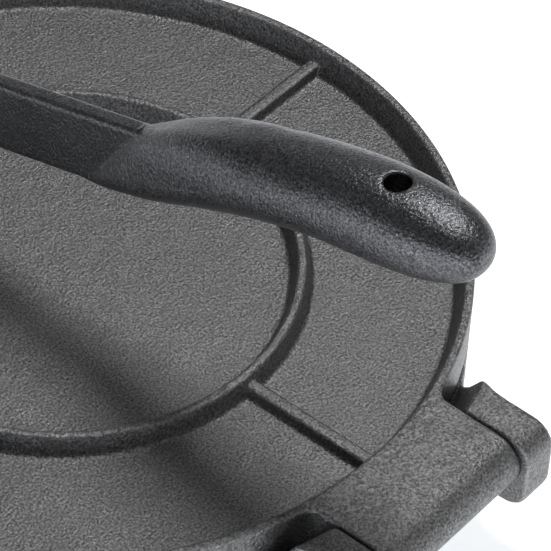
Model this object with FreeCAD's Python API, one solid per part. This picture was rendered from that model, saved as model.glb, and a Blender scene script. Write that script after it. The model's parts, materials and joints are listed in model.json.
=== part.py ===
import FreeCAD, Part
import math
import os

# Patty press: a cast base plate on four rubber feet, an upper plate hinged to it at the rear,
# and a long cast lever pivoted at the front that bears down on the upper plate.
# Millimetres. +Z is up, +Y runs from the lever's pivot at the front to the hinge at the rear,
# and +X is to the right. The model is drawn about the plates' own vertical axis, with z = 0 on
# the table, and is moved along Y at the end so that the origin is under the middle of the press.

PLATE_Y = 20.0              # plates' axis, forward to back, in the finished frame

# plates
PLATE_R = 131.0             # outer radius of both plates
RIM_TOP_Z = 50.0            # top of the upper plate's rim
UPPER_BOTTOM_Z = 33.0       # pressing face of the upper plate
BASE_TOP_Z = 31.0           # pressing face of the base plate
BASE_FLOOR_Z = 23.0         # underside of the base plate's disc
SKIRT_BOTTOM_Z = 6.0        # lower edge of the base plate's skirt
SKIRT_T = 6.0               # wall of the skirt at its top
SKIRT_DRAFT = 1.0           # how much thinner it is at its foot
FLOOR_Z = 40.8              # sunk floor on top of the upper plate
EDGE_R = 1.5                # rounding of the castings' outer edges
FINE_EDGE_R = 0.8           # rounding of rim, ring and lug
RIM_INNER_R = 128.0         # rim's inner radius at its top
RIM_FOOT_R = 125.0          # rim's inner radius at the floor
RING_OUTER_R = 77.7         # stiffening ring at its top
RING_INNER_R = 75.0
RING_TOP_Z = 47.35
RING_DRAFT = 2.3            # how far each of the ring's sides leans out at its foot
FOOT_FILLET = 0.8           # fillet where ring and rim meet the floor
RIB_TOP_Z = 44.8            # radial ribs on the upper plate
RIB_TOP_W = 4.2
RIB_FOOT_W = 5.6

# hinge
HINGE_Y = 150.8
HINGE_Z = 40.2
KNUCKLE_R = 9.8             # bull nose at the end of the upper plate's lug
NOSE_FLAT = 0.02            # what is left straight between the nose's two rounded corners
LUG_HALF_W = 30.5
EAR_INNER_X = 31.2
EAR_OUTER_X = 43.8
EAR_END_Y = 163.0
EAR_LOW_Z = 10.0            # lower edge where an ear leaves the base plate
EAR_END_LOW_Z = 21.5        # lower edge at its end
EAR_ROOT_L = 26.0           # how far its root reaches into the base plate
EAR_FLARE_R = 32.0          # plan fillet between an ear's outer side and the base plate
RAMP_FOOT_R = 131.0         # each ear rises from the plate's edge to its top as part of a cone
RAMP_TOP_R = 141.0
HINGE_PIN_R = 4.0
HINGE_HEAD_R = 6.5
HINGE_HEAD_T = 2.6
PIN_SINK = 0.3              # how far the hinge pin's plain end lies inside the left ear
RUNNING_CLEARANCE = 0.06    # radial, between a pin and the bore that turns on it
FIXED_CLEARANCE = 0.02      # radial, between a pin and a bore that doesn't turn on it

# lever
PIVOT_Y = -188.0
PIVOT_Z = 54.0
PIVOT_PIN_R = 5.0
LEVER_NUT_FLATS = 16.0
HUB_R = 14.0
HUB_HALF_W = 9.0
POST_INNER_X = 9.4
POST_OUTER_X = 18.4
POST_R = 15.0
LEG_LOW_Z = 8.0             # lower edge of the posts' legs and of the web between them
LEG_BACK_Y = -120.0         # where legs and web end, inside the base plate
LEG_BEND_Y = -170.0         # where their lower edges turn up to the front
SHANK_HALF_T = 3.2
SHANK_H = 26.2
SHANK_SLOPE = math.radians(15.7)
SHANK_LOW_Y = -23.0         # a point on the shank's lower edge
SHANK_LOW_Z = 80.8
HEEL_Y = -118.0             # where the lever bears on the upper plate
HEEL_R = 8.0
HEEL_HALF_W = 9.0
HEEL_GAP = 0.3              # between the resting heel and the pressing pad
HEEL_WEB_H = 16.0           # web that carries the heel up into the shank
HEEL_WEB_SPREAD = 6.0
HEEL_WEB_STEP = 1.5         # how far the web's sides lie inside the heel's ends
UNDERARM_Z = 57.0           # underside of the lever between its hub and its heel
HANG_HOLE_Y = 127.0
HANG_HOLE_R = 4.1

# pressing pad on the upper plate, under the heel
PAD_HALF_W = 14.0
PAD_INNER_Y = -107.0
PAD_CORNER_R = 4.0
PAD_EDGE_R = 1.2

# lever's bolt
BOLT_HEAD_H = 6.5
BOLT_TAIL_L = 12.0          # from the left washer to the bolt's end
NUT_T = 9.0
WASHER_R = 10.0
WASHER_T = 1.6
WASHER_BORE_GAP = 0.2
HEX_CROWN = 0.97            # hexagons' corners are turned down to this share of their radius

# feet and their fasteners
FOOT_CIRCLE_R = 98.0
FOOT_R = 12.0
FOOT_TOP_R = 10.5
FOOT_H = 9.0
FOOT_RECESS_R = 6.6         # recess that hides the screw's head in a foot
FOOT_RECESS_H = 4.0
BOSS_R = 10.0
SCREW_R = 2.5
SCREW_HEAD_R = 4.6
SCREW_HEAD_H = 2.4
SCREW_TOP_Z = 19.0
FOOT_WASHER_R = 6.0
FOOT_WASHER_T = 1.0
THREAD_CLEARANCE = 0.05

BASE_RIB_HALF_T = 2.5
BASE_RIB_LOW_Z = 12.0
OVERLAP = 1.0               # how far a joined piece, or a cutting tool, runs past the face it meets

X_AXIS = FreeCAD.Vector(1, 0, 0)
Z_AXIS = FreeCAD.Vector(0, 0, 1)
ORIGIN = FreeCAD.Vector(0, 0, 0)
SAME_POINT = 1e-4           # two points nearer than this are one


def vec(x, y, z):
    return FreeCAD.Vector(x, y, z)


def on_plan(z):
    """Place for an outline of (x, y) corners at height z."""
    return lambda x, y: vec(x, y, z)


def rounded_wire(corners, place):
    """Closed wire through corners (u, v, radius); place turns (u, v) into a point in space."""
    def unit(a, b):
        length = math.hypot(b[0] - a[0], b[1] - a[1])
        return (b[0] - a[0]) / length, (b[1] - a[1]) / length

    points = []
    count = len(corners)
    for i, corner in enumerate(corners):
        radius = corner[2] if len(corner) > 2 else 0.0
        if radius == 0.0:
            points.append((corner, None, corner))
            continue
        back = unit(corner, corners[i - 1])
        ahead = unit(corner, corners[(i + 1) % count])
        half_angle = math.acos(back[0] * ahead[0] + back[1] * ahead[1]) / 2
        run = radius / math.tan(half_angle)
        reach = radius / math.sin(half_angle) - radius
        middle = (back[0] + ahead[0], back[1] + ahead[1])
        size = math.hypot(middle[0], middle[1])
        start = (corner[0] + back[0] * run, corner[1] + back[1] * run)
        mid = (corner[0] + middle[0] / size * reach, corner[1] + middle[1] / size * reach)
        end = (corner[0] + ahead[0] * run, corner[1] + ahead[1] * run)
        points.append((start, mid, end))
    edges = []
    for i, (start, mid, end) in enumerate(points):
        if mid is not None:
            edges.append(Part.Arc(place(*start[:2]), place(*mid), place(*end[:2])).toShape())
        following = points[(i + 1) % count][0]
        if math.hypot(following[0] - end[0], following[1] - end[1]) > SAME_POINT:
            edges.append(Part.LineSegment(place(*end[:2]), place(*following[:2])).toShape())
    return Part.Wire(edges)


def turned(corners):
    """Solid of revolution about the plates' axis from an outline of (radius, z) corners."""
    wire = rounded_wire(corners, lambda r, z: vec(r, 0, z))
    return Part.Face(wire).revolve(ORIGIN, Z_AXIS, 360)


def side_slab(corners, x_low, x_high):
    """Slab between two x planes from a side outline of (y, z) corners."""
    wire = rounded_wire(corners, lambda y, z: vec(x_low, y, z))
    return Part.Face(wire).extrude(vec(x_high - x_low, 0, 0))


def cross_bar(radius, x_low, x_high, y, z):
    """Cylinder that lies along X."""
    return Part.makeCylinder(radius, x_high - x_low, vec(x_low, y, z), X_AXIS)


def through_bore(radius, half_w, y, z):
    """Tool for a bore along X through all that lies between -half_w and half_w."""
    return cross_bar(radius, -half_w - OVERLAP, half_w + OVERLAP, y, z)


def upright(radius, z_low, z_high, x=0.0, y=0.0):
    """Cylinder that stands along Z."""
    return Part.makeCylinder(radius, z_high - z_low, vec(x, y, z_low), Z_AXIS)


def rounded(solid, radius, wanted):
    """Fillet the edges that wanted(edge) picks."""
    return solid.makeFillet(radius, [edge for edge in solid.Edges if wanted(edge)])


def on_plane(edge, axis, value):
    """True for an edge that lies in the plane axis = value."""
    low = getattr(edge.BoundBox, axis + "Min")
    high = getattr(edge.BoundBox, axis + "Max")
    return abs(low - value) < SAME_POINT and abs(high - value) < SAME_POINT


# ---------------------------------------------------------------- upper plate

def plate_disc():
    """Disc with a raised rim and a raised ring on its sunk floor."""
    return turned([
        (0, UPPER_BOTTOM_Z),
        (PLATE_R, UPPER_BOTTOM_Z, EDGE_R),
        (PLATE_R, RIM_TOP_Z, FINE_EDGE_R),
        (RIM_INNER_R, RIM_TOP_Z, FINE_EDGE_R),
        (RIM_FOOT_R, FLOOR_Z, FOOT_FILLET),
        (RING_OUTER_R + RING_DRAFT, FLOOR_Z, FOOT_FILLET),
        (RING_OUTER_R, RING_TOP_Z, FINE_EDGE_R),
        (RING_INNER_R, RING_TOP_Z, FINE_EDGE_R),
        (RING_INNER_R - RING_DRAFT, FLOOR_Z, FOOT_FILLET),
        (0, FLOOR_Z),
    ])


def plate_rib(angle):
    """Drafted radial rib from the ring to the rim."""
    sunk_z = FLOOR_Z - OVERLAP
    inner_r = (RING_INNER_R + RING_OUTER_R) / 2
    outer_r = RIM_INNER_R
    wire = rounded_wire([
        (-RIB_FOOT_W / 2, sunk_z),
        (RIB_FOOT_W / 2, sunk_z),
        (RIB_TOP_W / 2, RIB_TOP_Z, FINE_EDGE_R),
        (-RIB_TOP_W / 2, RIB_TOP_Z, FINE_EDGE_R),
    ], lambda across, z: vec(inner_r, across, z))
    rib = Part.Face(wire).extrude(vec(outer_r - inner_r, 0, 0))
    rib.rotate(ORIGIN, Z_AXIS, angle)
    return rib


def hinge_lug():
    """Block at the rear of the upper plate that ends in a bull nose about the hinge axis."""
    nose_end_y = HINGE_Y + KNUCKLE_R
    nose_r = KNUCKLE_R - NOSE_FLAT / 2
    low_z = HINGE_Z - KNUCKLE_R
    lug = side_slab([
        (RIM_INNER_R + OVERLAP, RIM_TOP_Z),
        (nose_end_y, RIM_TOP_Z, nose_r),
        (nose_end_y, low_z, nose_r),
        (HINGE_Y - KNUCKLE_R - 2.0, low_z, 2.0),
        (RIM_INNER_R, UPPER_BOTTOM_Z),
    ], -LUG_HALF_W, LUG_HALF_W)

    def side_edge(edge):
        in_side = on_plane(edge, "X", LUG_HALF_W) or on_plane(edge, "X", -LUG_HALF_W)
        return in_side and edge.BoundBox.YMax > RIM_INNER_R + EDGE_R

    return rounded(lug, FINE_EDGE_R, side_edge)


def pressing_pad():
    """Solid pad inside the front of the rim, flush with it, that takes the lever's heel."""
    front_y = -(RIM_INNER_R + OVERLAP)
    height = RIM_TOP_Z - FLOOR_Z + OVERLAP
    pad = Part.makeBox(2 * PAD_HALF_W, PAD_INNER_Y - front_y, height,
                       vec(-PAD_HALF_W, front_y, FLOOR_Z - OVERLAP))
    pad = rounded(pad, PAD_CORNER_R, lambda edge: edge.BoundBox.ZLength > height / 2
                  and on_plane(edge, "Y", PAD_INNER_Y))
    return rounded(pad, PAD_EDGE_R, lambda edge: on_plane(edge, "Z", RIM_TOP_Z)
                   and not on_plane(edge, "Y", front_y))


def upper_plate():
    plate = plate_disc()
    parts = [plate_rib(angle) for angle in (0, 90, 180, 270)]
    parts += [hinge_lug(), pressing_pad()]
    plate = plate.multiFuse(parts)
    bore = through_bore(HINGE_PIN_R + RUNNING_CLEARANCE, LUG_HALF_W, HINGE_Y, HINGE_Z)
    return plate.cut(bore).removeSplitter()


# ---------------------------------------------------------------- base plate

def base_shell():
    """Disc with a skirt: the inside of the skirt is open from below."""
    inner_r = PLATE_R - SKIRT_T
    return turned([
        (0, BASE_FLOOR_Z),
        (inner_r, BASE_FLOOR_Z, 4.0),
        (inner_r + SKIRT_DRAFT, SKIRT_BOTTOM_Z, 1.0),
        (PLATE_R, SKIRT_BOTTOM_Z, EDGE_R),
        (PLATE_R, BASE_TOP_Z, EDGE_R),
        (0, BASE_TOP_Z),
    ])


def base_rib(angle):
    """Radial rib under the base plate."""
    height = BASE_FLOOR_Z + OVERLAP - BASE_RIB_LOW_Z
    rib = Part.makeBox(PLATE_R - SKIRT_T / 2, 2 * BASE_RIB_HALF_T, height,
                       vec(0, -BASE_RIB_HALF_T, BASE_RIB_LOW_Z))
    rib.rotate(ORIGIN, Z_AXIS, angle)
    return rib


def ear_plan():
    """Right ear seen from above: straight inside, flared into the plate's edge outside."""
    flare_x = EAR_OUTER_X + EAR_FLARE_R
    flare_y = math.sqrt((PLATE_R + EAR_FLARE_R) ** 2 - flare_x ** 2)
    meet_x = flare_x * PLATE_R / (PLATE_R + EAR_FLARE_R)
    meet_y = flare_y * PLATE_R / (PLATE_R + EAR_FLARE_R)
    corner_y = meet_y + (meet_x - EAR_OUTER_X) * meet_x / meet_y
    sunk_y = PLATE_R - EAR_ROOT_L
    return [
        (EAR_INNER_X, sunk_y),
        (EAR_INNER_X, EAR_END_Y),
        (EAR_OUTER_X, EAR_END_Y),
        (EAR_OUTER_X, corner_y, EAR_FLARE_R),
        (meet_x, meet_y),
        (meet_x - SKIRT_T, sunk_y),
    ]


def above_ramp():
    """What is cut off the ears: all that lies over the cone from the plate's edge to their tops."""
    slope = (RIM_TOP_Z - BASE_TOP_Z) / (RAMP_TOP_R - RAMP_FOOT_R)
    past_top_z = RIM_TOP_Z + OVERLAP * slope
    root_r = PLATE_R - EAR_ROOT_L - OVERLAP
    return turned([
        (root_r, BASE_TOP_Z),
        (RAMP_FOOT_R, BASE_TOP_Z),
        (RAMP_TOP_R + OVERLAP, past_top_z),
        (root_r, past_top_z),
    ])


def hinge_ear(side):
    """One of the two ears that carry the hinge pin; side is 1 on the right, -1 on the left."""
    plan = rounded_wire(ear_plan(), on_plan(EAR_LOW_Z))
    ear = Part.Face(plan).extrude(vec(0, 0, RIM_TOP_Z - EAR_LOW_Z))
    back_y = PLATE_R - EAR_ROOT_L - OVERLAP
    profile = side_slab([
        (back_y, EAR_LOW_Z),
        (back_y, RIM_TOP_Z),
        (EAR_END_Y, RIM_TOP_Z, 8.0),
        (EAR_END_Y, EAR_END_LOW_Z, 8.0),
        (EAR_END_Y - 15.0, EAR_END_LOW_Z, 6.0),
        (PLATE_R + 3.0, EAR_LOW_Z, 6.0),
    ], EAR_INNER_X - OVERLAP, EAR_OUTER_X + EAR_FLARE_R)
    ear = ear.common(profile).cut(above_ramp())
    if side < 0:
        ear = ear.mirror(ORIGIN, X_AXIS)
    return ear


def pivot_post(side):
    """One of the two posts that carry the lever's bolt."""
    x_low, x_high = sorted((side * POST_INNER_X, side * POST_OUTER_X))
    front_y = PIVOT_Y - POST_R
    leg_top_z = BASE_TOP_Z - 1.0
    head = cross_bar(POST_R, x_low, x_high, PIVOT_Y, PIVOT_Z)
    leg = side_slab([
        (LEG_BACK_Y, leg_top_z),
        (LEG_BACK_Y, LEG_LOW_Z),
        (LEG_BEND_Y, LEG_LOW_Z, 20.0),
        (front_y, PIVOT_Z - 2 * POST_R, 10.0),
        (front_y, PIVOT_Z),
        (PIVOT_Y + POST_R, PIVOT_Z),
        (LEG_BEND_Y + 10.0, leg_top_z, 14.0),
    ], x_low, x_high)
    return head.fuse(leg)


def front_web():
    """Floor between the two posts that ties them to the base plate."""
    web_top_z = BASE_TOP_Z - 6.0
    front_y = PIVOT_Y - 2.0
    return side_slab([
        (LEG_BACK_Y, web_top_z),
        (LEG_BACK_Y, LEG_LOW_Z),
        (LEG_BEND_Y, LEG_LOW_Z, 20.0),
        (front_y, web_top_z - 8.0, 4.0),
        (front_y, web_top_z, 3.0),
    ], -POST_INNER_X - OVERLAP, POST_INNER_X + OVERLAP)


def foot_places():
    """Places of the four feet, by name."""
    names = ("rear_right", "rear_left", "front_left", "front_right")
    places = {}
    for index, name in enumerate(names):
        angle = math.radians(45 + 90 * index)
        places[name] = (FOOT_CIRCLE_R * math.cos(angle), FOOT_CIRCLE_R * math.sin(angle))
    return places


def base_plate():
    base = base_shell()
    parts = [base_rib(angle) for angle in range(0, 360, 45)]
    parts += [hinge_ear(side) for side in (1, -1)]
    parts += [pivot_post(side) for side in (1, -1)]
    parts.append(front_web())
    parts += [upright(BOSS_R, FOOT_H, BASE_FLOOR_Z + OVERLAP, x, y) for x, y in foot_places().values()]
    base = base.multiFuse(parts)
    holes = [
        through_bore(HINGE_PIN_R + FIXED_CLEARANCE, EAR_OUTER_X, HINGE_Y, HINGE_Z),
        through_bore(PIVOT_PIN_R + FIXED_CLEARANCE, POST_OUTER_X, PIVOT_Y, PIVOT_Z),
    ]
    for x, y in foot_places().values():
        holes.append(upright(SCREW_R + THREAD_CLEARANCE, FOOT_H - OVERLAP, SCREW_TOP_Z + 1.0, x, y))
    return base.cut(holes).removeSplitter()


# ---------------------------------------------------------------- lever

def shank_low_z(y):
    """Height of the shank's lower edge at y."""
    return SHANK_LOW_Z + math.tan(SHANK_SLOPE) * (y - SHANK_LOW_Y)


def shank():
    """Flat bar that rises from the hub to the grip."""
    rise = SHANK_H / math.cos(SHANK_SLOPE)
    end_y = 32.0                # inside the grip, whose front slants back from here
    low_end_y = 16.0
    knee_y = -104.0
    back_y = -150.0
    bar = side_slab([
        (knee_y, shank_low_z(knee_y), 10.0),
        (low_end_y, shank_low_z(low_end_y), 2.0),
        (end_y, shank_low_z(end_y) + rise / 2),
        (end_y, shank_low_z(end_y) + rise),
        (back_y, shank_low_z(back_y) + rise, 20.0),
        (PIVOT_Y, PIVOT_Z + HUB_R - 1.0),
        (PIVOT_Y, PIVOT_Z - 2.0),
        (PIVOT_Y + HUB_R, PIVOT_Z - 2.0, 4.0),
        (-140.0, UNDERARM_Z, 6.0),
        (HEEL_Y - 5.0, UNDERARM_Z),
    ], -SHANK_HALF_T, SHANK_HALF_T)
    straight_l = 60.0
    return rounded(bar, 2.0, lambda edge: edge.BoundBox.XLength < SAME_POINT
                   and edge.BoundBox.YMin > back_y - 15.0 and edge.BoundBox.YLength > straight_l)


def heel():
    """Rounded heel under the lever, with a web that carries it up into the shank."""
    centre_z = RIM_TOP_Z + HEEL_GAP + HEEL_R
    roller = cross_bar(HEEL_R, -HEEL_HALF_W, HEEL_HALF_W, HEEL_Y, centre_z)
    web = side_slab([
        (HEEL_Y - HEEL_R, centre_z),
        (HEEL_Y + HEEL_R, centre_z),
        (HEEL_Y + HEEL_R + HEEL_WEB_SPREAD, centre_z + HEEL_WEB_H),
        (HEEL_Y - HEEL_R, centre_z + HEEL_WEB_H),
    ], HEEL_WEB_STEP - HEEL_HALF_W, HEEL_HALF_W - HEEL_WEB_STEP)
    return roller.fuse(web)


def hub():
    """Round boss that turns on the lever's bolt."""
    return cross_bar(HUB_R, -HUB_HALF_W, HUB_HALF_W, PIVOT_Y, PIVOT_Z)


def grip_section(y, z, tilt_deg, half_w, half_h):
    """Ellipse across the grip, tilted with the grip's centre line."""
    tilt = math.radians(tilt_deg)
    middle = vec(0, y, z)
    up = vec(0, -math.sin(tilt), math.cos(tilt))
    if half_w >= half_h:
        ellipse = Part.Ellipse(middle + X_AXIS * half_w, middle + up * half_h, middle)
    else:
        ellipse = Part.Ellipse(middle + up * half_h, middle - X_AXIS * half_w, middle)
    return Part.Wire(ellipse.toShape())


def grip():
    """Hand grip: an oval bar that swells from the shank, arches over and ends in a blunt nose."""
    sections = [                # y, z, tilt in degrees, half width, half height
        (23.0, 108.0, 20.0, 6.0, 12.3),
        (36.0, 113.2, 27.0, 11.0, 11.2),
        (52.0, 122.2, 29.5, 13.2, 12.0),
        (76.0, 134.4, 23.5, 14.4, 13.0),
        (100.0, 143.1, 17.0, 14.6, 13.6),
        (124.0, 148.7, 10.0, 14.8, 14.0),
        (138.0, 151.0, 8.5, 14.2, 13.4),
        (148.0, 152.2, 6.0, 12.4, 11.8),
        (155.0, 152.9, 5.0, 9.4, 9.0),
        (158.6, 153.2, 5.0, 5.8, 5.6),
    ]
    wires = [grip_section(*section) for section in sections]
    return Part.makeLoft(wires, True, False)


def lever_handle():
    lever = shank().multiFuse([hub(), heel(), grip()])
    holes = [
        through_bore(PIVOT_PIN_R + RUNNING_CLEARANCE, HUB_HALF_W, PIVOT_Y, PIVOT_Z),
        upright(HANG_HOLE_R, RIM_TOP_Z + 60.0, RIM_TOP_Z + 140.0, 0.0, HANG_HOLE_Y),
    ]
    return lever.cut(holes).removeSplitter()


# ---------------------------------------------------------------- fasteners and feet

def hex_prism(x_low, x_high):
    """Hexagon about the lever's pivot, from x_low to x_high, with its corners turned down."""
    corner_r = LEVER_NUT_FLATS / math.sqrt(3)
    points = []
    for i in range(7):
        angle = math.radians(60 * i)
        points.append(vec(x_low, PIVOT_Y + corner_r * math.cos(angle), PIVOT_Z + corner_r * math.sin(angle)))
    prism = Part.Face(Part.makePolygon(points)).extrude(vec(x_high - x_low, 0, 0))
    return prism.common(cross_bar(corner_r * HEX_CROWN, x_low, x_high, PIVOT_Y, PIVOT_Z))


def lever_bolt():
    """Hex bolt along X, with its head on the right and its end past the nut on the left."""
    head_x = POST_OUTER_X + WASHER_T
    shaft = cross_bar(PIVOT_PIN_R, -head_x - BOLT_TAIL_L, head_x, PIVOT_Y, PIVOT_Z)
    return hex_prism(head_x, head_x + BOLT_HEAD_H).fuse(shaft)


def lever_nut():
    """Lock nut on the bolt's left end."""
    near_x = -(POST_OUTER_X + WASHER_T)
    body = hex_prism(near_x - NUT_T, near_x)
    return body.cut(through_bore(PIVOT_PIN_R + THREAD_CLEARANCE, NUT_T - near_x, PIVOT_Y, PIVOT_Z))


def lever_washers():
    """The two washers outside the posts, one under the bolt's head and one under the nut."""
    bore = through_bore(PIVOT_PIN_R + WASHER_BORE_GAP, POST_OUTER_X + WASHER_T, PIVOT_Y, PIVOT_Z)
    rings = []
    for x_low in (POST_OUTER_X, -(POST_OUTER_X + WASHER_T)):
        ring = cross_bar(WASHER_R, x_low, x_low + WASHER_T, PIVOT_Y, PIVOT_Z)
        rings.append(ring.cut(bore))
    return Part.makeCompound(rings)


def rubber_foot(x, y):
    """Tapered rubber foot with a recess for the screw's head."""
    body = Part.makeCone(FOOT_TOP_R, FOOT_R, FOOT_H, vec(x, y, 0), Z_AXIS)
    body = rounded(body, 1.5, lambda edge: on_plane(edge, "Z", 0.0))
    return body.cut([
        upright(FOOT_RECESS_R, -OVERLAP, FOOT_RECESS_H, x, y),
        upright(SCREW_R + 0.3, -OVERLAP, FOOT_H + OVERLAP, x, y),
    ])


def foot_washers():
    """One washer over each foot screw's head, at the top of the foot's recess."""
    rings = []
    for x, y in foot_places().values():
        ring = upright(FOOT_WASHER_R, FOOT_RECESS_H - FOOT_WASHER_T, FOOT_RECESS_H, x, y)
        rings.append(ring.cut(upright(SCREW_R + WASHER_BORE_GAP, 0, FOOT_H, x, y)))
    return Part.makeCompound(rings)


def foot_screws():
    """Pan-head screws, one up through each foot into its boss."""
    screws = []
    head_top = FOOT_RECESS_H - FOOT_WASHER_T
    for x, y in foot_places().values():
        head = upright(SCREW_HEAD_R, head_top - SCREW_HEAD_H, head_top, x, y)
        head = rounded(head, 1.4, lambda edge: on_plane(edge, "Z", head_top - SCREW_HEAD_H))
        screws.append(head.fuse(upright(SCREW_R, head_top, SCREW_TOP_Z, x, y)))
    return Part.makeCompound(screws)


def hinge_pin():
    """Round-headed pin, put in from the right and driven into the left ear."""
    shaft = cross_bar(HINGE_PIN_R, PIN_SINK - EAR_OUTER_X, EAR_OUTER_X, HINGE_Y, HINGE_Z)
    head = cross_bar(HINGE_HEAD_R, EAR_OUTER_X, EAR_OUTER_X + HINGE_HEAD_T, HINGE_Y, HINGE_Z)
    outer_x = EAR_OUTER_X + HINGE_HEAD_T
    head = rounded(head, 1.2, lambda edge: on_plane(edge, "X", outer_x))
    return shaft.fuse(head)


def all_nodes():
    nodes = {
        "base_plate": base_plate(),
        "upper_plate": upper_plate(),
        "lever_handle": lever_handle(),
        "hinge_pin": hinge_pin(),
        "lever_bolt": lever_bolt(),
        "lever_nut": lever_nut(),
        "lever_washers": lever_washers(),
        "foot_washers": foot_washers(),
        "foot_screws": foot_screws(),
    }
    for name, (x, y) in foot_places().items():
        nodes["rubber_foot_" + name] = rubber_foot(x, y)
    return nodes


def main():
    os.makedirs("parts", exist_ok=True)
    for name, shape in all_nodes().items():
        shape.translate(vec(0, PLATE_Y, 0))
        shape.exportStep("parts/" + name + ".step")
        box = shape.BoundBox
        print("%-24s solids %d valid %s volume %.0f  y %.1f..%.1f z %.1f..%.1f" % (
            name, len(shape.Solids), shape.isValid(), shape.Volume,
            box.YMin, box.YMax, box.ZMin, box.ZMax))


main()
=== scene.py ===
import json
import math

import bpy
import numpy as np
from mathutils import Matrix, Vector


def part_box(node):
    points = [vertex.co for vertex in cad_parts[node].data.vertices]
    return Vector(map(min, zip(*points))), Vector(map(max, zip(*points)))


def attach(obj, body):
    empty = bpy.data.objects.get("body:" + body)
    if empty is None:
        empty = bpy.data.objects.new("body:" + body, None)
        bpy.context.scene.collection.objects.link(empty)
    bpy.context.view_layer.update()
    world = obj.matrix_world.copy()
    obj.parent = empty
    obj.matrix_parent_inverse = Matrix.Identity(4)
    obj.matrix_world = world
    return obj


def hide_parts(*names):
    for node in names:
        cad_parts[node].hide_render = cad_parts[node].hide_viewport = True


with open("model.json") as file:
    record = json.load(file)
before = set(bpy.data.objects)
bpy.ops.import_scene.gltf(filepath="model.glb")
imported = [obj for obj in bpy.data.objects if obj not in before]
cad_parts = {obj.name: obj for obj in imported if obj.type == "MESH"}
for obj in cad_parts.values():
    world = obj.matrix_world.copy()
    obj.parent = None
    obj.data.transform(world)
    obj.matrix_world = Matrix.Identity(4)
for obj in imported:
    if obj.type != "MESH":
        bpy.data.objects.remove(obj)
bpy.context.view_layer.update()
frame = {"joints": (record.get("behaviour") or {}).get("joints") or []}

# The three castings are rebuilt here as one skin each, with every corner and fillet that a sand
# casting has. A casting is a field: a function that gives, for a point in millimetres, how far
# outside the metal it is. Points are measured from the plates' own vertical axis, with z = 0 on
# the table. skin() turns a field into a mesh in metres, in the frame of the CAD model.

MM = 0.001


# ---------------------------------------------------------------- sizes, from the frame

def node_box(name):
    """Lowest and highest corner of a CAD node, in millimetres."""
    low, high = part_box(name)
    return low / MM, high / MM


def joint_place(name):
    """Y and z of a joint's axis, in millimetres."""
    joint = next(j for j in frame["joints"] if j["name"] == name)
    return joint["pos_m"][1] / MM, joint["pos_m"][2] / MM


UPPER_LOW, UPPER_HIGH = node_box("upper_plate")
PLATE_R = UPPER_HIGH.x
PLATE_Y = UPPER_LOW.y + PLATE_R
HINGE_Y = joint_place("plate_hinge")[0] - PLATE_Y
HINGE_Z = joint_place("plate_hinge")[1]
PIVOT_Y = joint_place("lever_pivot")[0] - PLATE_Y
PIVOT_Z = joint_place("lever_pivot")[1]

# upper plate
RIM_TOP_Z = 50.0
UPPER_BOTTOM_Z = 33.0
FLOOR_Z = 40.8
RIM_INNER_R = 128.0
RIM_FOOT_R = 125.0
HOLLOW_CORNER_R = 4.0
RING_R = 76.35
RING_HALF_T = 1.35
RING_LEAN = 0.35            # how far its sides lean out for each mm down
RING_TOP_Z = 47.35
RIB_TOP_Z = 44.8
RIB_HALF_T = 2.1
RIB_LEAN = 0.15
ROOT = 3.0                  # how deep the ring and the ribs are rooted in the floor
FOOT_FILLET = 0.9
FINE_EDGE_R = 0.8
PAD_HALF_W = 14.0
PAD_INNER_Y = -107.0

# hinge
KNUCKLE_R = 9.8
KNUCKLE_CORNER_R = KNUCKLE_R - 0.01     # two corners of a full radius would touch
LUG_HALF_W = 30.5
LUG_START_Y = 60.0          # inside the plate
LUG_FILLET = 4.0
LUG_SIDE_R = 3.0
EAR_INNER_X = 31.2
EAR_OUTER_X = 43.8
EAR_END_Y = 163.0
EAR_END_LOW_Z = 21.5
EAR_END_R = 8.0
EAR_STEP_Y = 148.0
EAR_STEP_FOOT_Y = 134.0
EAR_STEP_R = 6.0
EAR_LOW_Z = 10.0
EAR_START_Y = 100.0         # inside the plate
EAR_PLAN_START_Y = 105.0
EAR_FLARE_R = 32.0
RAMP_FOOT_R = 131.0
RAMP_TOP_R = 141.0
HINGE_PIN_R = 4.0
HINGE_HEAD_R = 6.5
HINGE_HEAD_T = 2.6

# base plate
BASE_TOP_Z = 31.0
BASE_FLOOR_Z = 23.0
SKIRT_BOTTOM_Z = 6.0
SKIRT_T = 6.0
SKIRT_LEAN = 0.06
EDGE_R = 1.5
BASE_RIB_HALF_T = 2.5
BASE_RIB_LOW_Z = 12.0
BASE_RIB_END_R = 127.0
BASE_ROOT_Z = 26.0          # ribs and bosses end inside the plate at this height
BASE_FILLET = 1.8
BOSS_R = 10.0
BOSS_LOW_Z = 9.0
POST_INNER_X = 9.4
POST_OUTER_X = 18.4
POST_R = 15.0
POST_LOW_Z = 9.5
POST_START_Y = -120.0       # inside the plate
POST_FILLET = 3.0
WEB_END_Y = -190.0
BORE_EDGE_R = 0.6

# lever
PIVOT_PIN_R = 5.0
HUB_R = 14.0
HUB_HALF_W = 9.0
HUB_FILLET = 4.0
SHANK_HALF_T = 3.2
SHANK_H = 26.2
SHANK_SLOPE = math.radians(15.7)
SHANK_LOW_Y = -23.0
SHANK_LOW_Z = 80.8
SHANK_EDGE_R = 1.6
HEEL_Y = -118.0
HEEL_R = 8.0
HEEL_HALF_W = 9.0
HEEL_GAP = 0.3
HEEL_RISE = 16.0
HEEL_FILLET = 3.0
UNDERARM_Z = 57.0
HANG_HOLE_Y = 127.0
HANG_HOLE_R = 4.1
HANG_HOLE_LOW_Z = 110.0
HANG_HOLE_EDGE_R = 0.7

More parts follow.
